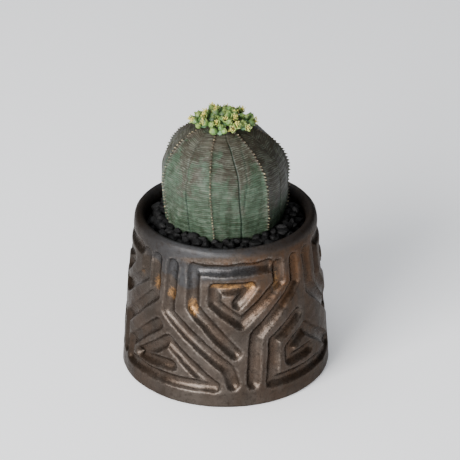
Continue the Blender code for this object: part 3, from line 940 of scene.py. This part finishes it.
        # painted shade: a dark line in the furrows, full where they open, and along the second crease
        full_furrow_shade = smoothstep(6, -4, arc) + (np.abs(turn_between(azimuth, 13)) < 12) * smoothstep(34, 26, arc)
        furrow_shade = furrow * np.clip(full_furrow_shade + 0.25, 0, 1)
        shades = {
            "arc": arc + 0 * azimuth,
            "side": np.abs(from_rib) / half_side,
            "band": band,
            "tooth": tooth,
            "tip": smoothstep(0.45, 0.9, tooth) * (Ripples(3.1, 43).at(place) > 0.1),
            # painted shade between the teeth along each rib
            "gap": np.clip(row * 1.2 - tooth * 1.5, 0, 1),
            "crease": np.clip(furrow_shade + second * 0.7, 0, 1),
            "age": smoothstep(16, 40, arc) + 0.4 * bell(across, 3.0) * smoothstep(4, 26, arc),
            "root": 1 - smoothstep(self.gravel_line - 9, self.gravel_line - 2.5, heights) + 0 * azimuth,
        }
        peak = grid[-1].mean(axis=0) + (0, 0, -0.05)
        tip = grid[0].mean(axis=0) - (0, 0, 0.8)
        shell = Shell()
        patch = grid_patch(grid, bottom=tip, top=peak)
        shell.add(patch, **{name: with_poles(values, grid.shape[:2]) for name, values in shades.items()})
        shell.piece("ribbed_stem", ["stem"], Slot.SKIN, RibbedSkin())


# ---------------- flowers


@dataclass
class FlowerStalk:
    """One forked stalk: a short stem, a branch with a flower head to each side, and two heads between them."""

    node: str
    heads: tuple[Head, Head]
    middle: Head
    crown: Array
    seed: int
    cup_radius: float = 1.95
    stalk_radius: float = 0.90
    spread: float = 48.0
    branch: float = 2.8
    reach: float = 16.5
    most_lean: float = 30.0
    closeness: float = 0.90

    # Each row of a head from its base up: level, reach, ruffle, lip's colour and dark centre's colour. The
    # first three are shares of the head's radius.
    BUD_ROWS = (
        (-1.0, 0.30, 0, 0, 0),
        (-0.8, 0.62, 0, 0, 0),
        (-0.4, 0.90, 0, 0, 0),
        (0.05, 1.0, 0.02, 0, 0),
        (0.5, 0.88, 0.05, 0.1, 0),
        (0.8, 0.62, 0.10, 0.5, 0),
        (0.98, 0.34, 0.16, 0.9, 0),
        (1.02, 0.12, 0.1, 1.0, 0),
    )
    CUP_ROWS = (
        (-1.0, 0.32, 0, 0, 0),
        (-0.75, 0.64, 0, 0, 0),
        (-0.35, 0.88, 0, 0, 0),
        (0.1, 0.98, 0.03, 0.1, 0),
        (0.45, 1.02, 0.10, 0.5, 0),
        (0.66, 1.04, 0.20, 1.0, 0),
        (0.62, 0.84, 0.14, 1.0, 0.1),
        (0.42, 0.55, 0.04, 0.4, 0.9),
        (0.30, 0.2, 0.0, 0.1, 1.0),
    )

    def build(self) -> None:
        """Grows the stalk in the room that its CAD node takes."""
        low, high = box_of(self.node)
        middle = (low + high) / 2
        draw = np.random.default_rng(self.seed)
        middle[:2] = self.crown[:2] + (middle[:2] - self.crown[:2]) * self.closeness
        out = middle[:2] - self.crown[:2]
        away = float(np.hypot(*out))
        outward = np.array([out[0], out[1], 0.0]) / max(away, 1e-6)
        sideways = np.array([-outward[1], outward[0], 0.0])
        tilt = math.radians(self.most_lean) * min(1.0, away / self.reach)
        grow = outward * math.sin(tilt) + np.array([0, 0, math.cos(tilt)])
        drop = np.array([0, 0, -1.0]) * min(1.0, away / self.reach) ** 2
        fork = middle - grow * 0.9
        foot = fork - outward * min(away, 3.5) * 0.6 - grow * (high[2] - low[2]) * 0.34
        shell = Shell()
        bend = fork - grow * 0.6 - outward * 0.4
        self.rod(shell, foot, fork, bend, self.stalk_radius * 1.25, self.stalk_radius * 1.1)
        for side, head in zip((-1, 1, 0, 0), (*self.heads, self.middle, Head.BUD)):
            angle = math.radians(self.spread + draw.uniform(-12, 12))
            aim = grow * math.cos(angle) + sideways * side * math.sin(angle)
            aim = aim + outward * draw.uniform(-0.05, 0.55) + drop * draw.uniform(0.0, 0.8)
            if head is Head.BUD and side == 0:
                aim = grow * 0.7 - outward * draw.uniform(0.3, 1.0) + sideways * draw.normal() * 0.4
            elif side == 0:
                aim = grow + outward * draw.uniform(0.1, 1.0) + sideways * draw.normal() * 0.3
                aim = aim + drop * draw.uniform(0.2, 1.1)
            aim /= np.linalg.norm(aim)
            tip = fork + aim * (self.branch * draw.uniform(0.90, 1.15) * (1.0 if side else 0.8))
            bend = fork + aim * self.branch * 0.45 - grow * 0.25
            self.rod(shell, fork, tip, bend, self.stalk_radius, self.stalk_radius * 0.85)
            self.head(shell, tip, aim, head, draw)
        shell.piece(f"{self.node}_in_flower", [self.node], Slot.FLOWER, FlowerTissue())

    def rod(self, shell: Shell, start: Array, end: Array, bend: Array, thick: float, thin: float) -> None:
        """A tapered rod along a curve: the square-law blend of its start, a bend and its end."""
        share = np.linspace(0, 1, 7)[:, None]
        path = (1 - share) ** 2 * start + 2 * share * (1 - share) * bend + share**2 * end
        shell.add(tube(path, np.linspace(thick, thin, 7), 10), stalk=1.0)

    def head(self, shell: Shell, tip: Array, aim: Array, kind: Head, draw: np.random.Generator) -> None:
        """One flower head: a cup with five lobes, and anthers on threads if it is open.

        The cup is a profile turned round its own axis, with a five-fold cosine that lifts and widens the
        lobes of its lip. A bud's profile closes over the top instead.
        """
        size = self.cup_radius * draw.uniform(0.86, 1.08)
        turned = axes_along(aim)
        centre = tip + aim * size * 0.35
        columns = 30
        angle = np.arange(columns)[None, :] * 2 * np.pi / columns
        lobes = np.cos(5 * angle + draw.uniform(0, 6)) + 0.35 * np.cos(15 * angle)
        rows = np.array(self.BUD_ROWS if kind is Head.BUD else self.CUP_ROWS)
        levels, reach, ruffle, lip, dark = rows.T[:, :, None]
        ruffle = ruffle * lobes
        radius = size * (reach + ruffle)
        local = np.stack([radius * np.cos(angle), radius * np.sin(angle), size * (levels + ruffle)], axis=-1)
        grid = centre + local @ turned.T
        base = centre - aim * size * 1.05
        top = centre + aim * size * (1.0 if kind is Head.BUD else 0.28)
        patch = grid_patch(grid, bottom=base, top=top)
        shades = {"lip": lip, "centre": dark * (kind is Head.AGED), "tone": draw.uniform(0, 1) ** 1.5}
        shell.add(patch, **{name: with_poles(values, radius.shape) for name, values in shades.items()})
        if kind is Head.BUD:
            return
        for _ in range(15 if kind is Head.OPEN else 9):
            way = turned @ np.array([*draw.normal(0, 0.55, 2), 1.0])
            way /= np.linalg.norm(way)
            start = centre + aim * size * 0.35 + way * size * 0.15
            end = start + way * draw.uniform(0.9, 2.6)
            path = np.linspace(start, end, 3) + np.array([[0.0], [0.12], [0.0]]) * draw.normal(size=3)
            shell.add(tube(path, np.full(3, 0.11), 4), anther=0.55, lip=0.6)
            ball = ball_grid(3, 6) * (0.34, 0.34, 0.27)
            patch = grid_patch(end + ball, bottom=end - (0, 0, 0.27), top=end + (0, 0, 0.27))
            shell.add(patch, anther=1.0)


@dataclass
class FlowerCluster:
    """All the stalks on the crown, with how far each one's heads have opened: left, right and middle."""

    crown: Array
    kinds: tuple[str, ...] = (
        *("OBB", "OBA", "OOB", "BOB", "BOO", "BBO", "BBB", "ABO"),
        *("ABB", "OBA", "BOB", "OBB", "OOB", "OBB", "OOB", "OBB"),
    )

    def build(self) -> None:
        """Builds every stalk that the frame holds."""
        letters = {"B": Head.BUD, "O": Head.OPEN, "A": Head.AGED}
        for number, node in enumerate(nodes_named("flower_stalk_")):
            left, right, middle = (letters[letter] for letter in self.kinds[number % len(self.kinds)])
            FlowerStalk(node, (left, right), middle, self.crown, 100 + number).build()


# ---------------- gravel


@dataclass
class Stone:
    """A broken stone: a ball cut by flats, with its edges slightly worn."""

    centre: Array
    size: Array
    seed: int
    rows: int = 18
    columns: int = 28
    flats: int = 13
    sharpness: float = 34.0
    shallow: float = 0.66

    def patch(self) -> Patch:
        """The stone's surface.

        In each direction the radius is the least, over the flats, of a flat's distance over the cosine
        to it. The least is a soft one, the logarithm of a sum of powers, which wears the edges.
        """
        draw = np.random.default_rng(self.seed)
        flats = draw.normal(size=(self.flats, 3))
        flats /= np.linalg.norm(flats, axis=1, keepdims=True)
        depths = draw.uniform(self.shallow, 1.0, self.flats)
        ways = ball_grid(self.rows, self.columns)
        ends = np.array([[0, 0, -1.0], [0, 0, 1.0]])
        radius = self.reach(ways, flats, depths)
        tips = self.reach(ends, flats, depths)
        grid = self.centre + ways * radius[..., None] * self.size
        poles = self.centre + ends * tips[:, None] * self.size
        return grid_patch(grid, bottom=poles[0], top=poles[1])

    def reach(self, ways: Array, flats: Array, depths: Array) -> Array:
        """How far the stone's skin is from its middle, in each direction."""
        closeness = np.clip(ways @ flats.T, 0.02, None) / depths
        worn = (closeness**self.sharpness).sum(axis=-1) ** (-1 / self.sharpness)
        rough = 0.03 * Ripples(0.9, self.seed + 1).at(ways) + 0.014 * Ripples(0.3, self.seed + 2).at(ways)
        return np.minimum(worn, 1.12) + rough


@dataclass
class GravelDressing:
    """The black gravel: one detailed stone for each CAD stone, and a bed of small ones between them."""

    inner: float
    outer: float
    bed_low: float
    bed_high: float
    small_stones: int = 240
    collar_stones: int = 72
    collar_top: float = 92.3
    growth: float = 1.13
    bed_drop: float = 1.6
    facet_angle: float = 28.0

    def build(self) -> None:
        """Builds the large stones and then the bed."""
        draw = np.random.default_rng(77)
        for number, node in enumerate(nodes_named("gravel_stone_")):
            low, high = box_of(node)
            shell = Shell()
            size = (high - low) / 2 * self.growth * draw.uniform(0.94, 1.06, 3)
            shell.add(Stone((low + high) / 2, size, 500 + 7 * number).patch(), tone=draw.uniform(0.1, 0.75))
            shell.piece(f"{node}_broken", [node], Slot.GRAVEL, LavaGravel(), self.facet_angle)
        self.bed()

    def bed(self) -> None:
        """The bed: a closed ring with a lumpy top, small stones sunk in it and a collar of them by the stem."""
        azimuth = np.arange(120)[None, :] * 3.0
        radii = np.array([self.inner, self.outer, *np.linspace(self.outer, self.inner, 9)])
        heights = np.array([self.bed_low, self.bed_low, *np.full(9, self.bed_high - self.bed_drop)])
        top = heights > self.bed_low + 1
        grid = polar(azimuth, radii[:, None], heights[:, None])
        grid[..., 2] += 0.5 * Ripples(5, 61).at(grid) * top[:, None]
        shell = Shell()
        shell.add(grid_patch(grid, wrap_rows=True), tone=0.0)
        draw = np.random.default_rng(62)
        for number in range(self.small_stones + self.collar_stones):
            share = draw.uniform(0, 1)
            size = draw.uniform(1.5, 2.9)
            turn = draw.uniform(0, 360)
            away = self.inner + size * 0.2 + (self.outer - self.inner - size) * share
            middle = self.bed_high - self.bed_drop + 2.4 * (1 - share) ** 2 + draw.uniform(-0.8, 0.8)
            if number >= self.small_stones:
                turn = (number + draw.uniform(-0.3, 0.3)) * 360 / self.collar_stones
                away = self.inner + (1.4, 3.8)[number % 2] + draw.uniform(-0.4, 0.8)
                size = draw.uniform(1.7, 3.0)
                middle = self.collar_top - size * 0.85 - 0.7 * (number % 2) + draw.uniform(-0.5, 0.3)
            spread = size * draw.uniform(0.9, 1.4, 3) * (1, 1, 0.85)
            centre = polar(np.array(turn), away, middle)
            cut = {"rows": 9, "columns": 14, "flats": 8, "sharpness": 50.0, "shallow": 0.5}
            shell.add(Stone(centre, spread, 900 + 3 * number, **cut).patch(), tone=draw.uniform(0, 0.7))
        shell.piece("gravel_bed_of_small_stones", ["gravel_bed"], Slot.GRAVEL, LavaGravel(), self.facet_angle)


# ---------------- inner pieces and the studio


@dataclass(frozen=True)
class InnerPieces:
    """The pieces inside the pot that keep their CAD shape and get a finish of their own."""

    def dress(self) -> None:
        """Puts a finish on each."""
        finishes = {
            "potting_mix": Crumb("potting_mix_crumb", (0.11, 0.075, 0.045), (0.045, 0.028, 0.017), 1.6),
            "drainage_layer": Crumb("pumice_crumb", (0.50, 0.46, 0.38), (0.30, 0.27, 0.22), 4.5),
            "drainage_mesh": MouldedPlastic(),
        }
        for node, finish in finishes.items():
            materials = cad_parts[node].data.materials
            materials.clear()
            materials.append(material_of(finish))
            log.info("%s: dressed as it is", node)


@dataclass(frozen=True)
class Softbox:
    """A soft rectangular light."""

    name: str
    place: Triple
    aim: Triple
    width: float
    height: float
    watts: float
    colour: Triple = (1.0, 1.0, 1.0)

    def build(self) -> None:
        """Hangs the light and turns it to its aim."""
        data = bpy.data.lights.new(self.name, "AREA")
        data.shape = "RECTANGLE"
        data.size, data.size_y = self.width, self.height
        data.energy, data.color = self.watts, self.colour
        light = add_object(self.name, data)
        light.location = self.place
        light.rotation_euler = (Vector(self.aim) - Vector(self.place)).to_track_quat("-Z", "Y").to_euler()


@dataclass
class Studio:
    """A pale floor, soft window light from the left, and a long lens looking down at the front."""

    target: Triple = (0.0, 0.0, 0.0455)
    distance: float = 1.5
    elevation: float = 29.15
    lens: float = 210.52
    aim_up: float = 1.146
    aim_right: float = 0.104
    world_light: float = 0.12
    lights: tuple[Softbox, ...] = (
        Softbox("window", (-1.28, -1.66, 1.02), (0.0, 0.0, 0.08), 1.3, 1.1, 122.0, (1.0, 0.985, 0.97)),
        Softbox("low_front", (-0.42, -1.75, 0.36), (0.0, 0.0, 0.05), 1.1, 0.5, 33.0, (1.0, 0.99, 0.98)),
        Softbox("ceiling", (-0.35, 0.15, 1.5), (0.0, 0.0, 0.08), 1.2, 1.0, 13.0, (0.95, 0.97, 1.0)),
    )

    def build(self) -> None:
        """Lays the floor, hangs the lights and places the camera."""
        self.floor()
        for light in self.lights:
            light.build()
        world = bpy.data.worlds.new("studio_air")
        world.use_nodes = True
        air = world.node_tree.nodes["Background"]
        air.inputs["Color"].default_value = (0.86, 0.90, 0.96, 1.0)
        air.inputs["Strength"].default_value = self.world_light
        bpy.context.scene.world = world
        self.camera()

    def floor(self) -> None:
        """A wide flat sheet at the pot's foot."""
        half = 6.0
        corners = [(-half, -half, 0.0), (half, -half, 0.0), (half, half, 0.0), (-half, half, 0.0)]
        mesh = bpy.data.meshes.new("floor")
        mesh.from_pydata(corners, [], [(0, 1, 2, 3)])
        mesh.materials.append(PaleFloor().material())
        add_object("floor", mesh)

    def camera(self) -> None:
        """Places the camera on the front side and turns it a little up and right of the target."""
        rise = math.radians(self.elevation)
        data = bpy.data.cameras.new("camera")
        data.lens, data.sensor_width = self.lens, 36.0
        data.clip_start, data.clip_end = 0.05, 30.0
        camera = add_object("camera", data)
        camera.location = (
            self.target[0],
            self.target[1] - self.distance * math.cos(rise),
            self.target[2] + self.distance * math.sin(rise),
        )
        tilt = math.radians(90 - self.elevation + self.aim_up)
        camera.rotation_euler = (tilt, 0.0, -math.radians(self.aim_right))
        bpy.context.scene.camera = camera


def main() -> None:
    """Builds the object from the pot inwards, then the studio."""
    pot_high, bed = box_of("pot")[1], box_of("gravel_bed")
    stem_low, stem_high = box_of("stem")
    crown_height = float(stem_high[2]) + CROWN_ABOVE_CAD
    CarvedPot(height=float(pot_high[2]), base_radius=float(pot_high[0]) + 0.05).build()
    stem = RibbedStem(float(pot_high[2]) - GRAVEL_BELOW_RIM, crown_height, float(stem_low[2]))
    stem.build()
    FlowerCluster(np.array([-stem.lean, 0.0, crown_height])).build()
    GravelDressing(BED_INNER_RADIUS, float(bed[1][0]), float(bed[0][2]), float(bed[1][2])).build()
    InnerPieces().dress()
    Studio().build()


if __name__ == "__main__":
    logging.basicConfig(level=logging.INFO, format="%(message)s")
    main()
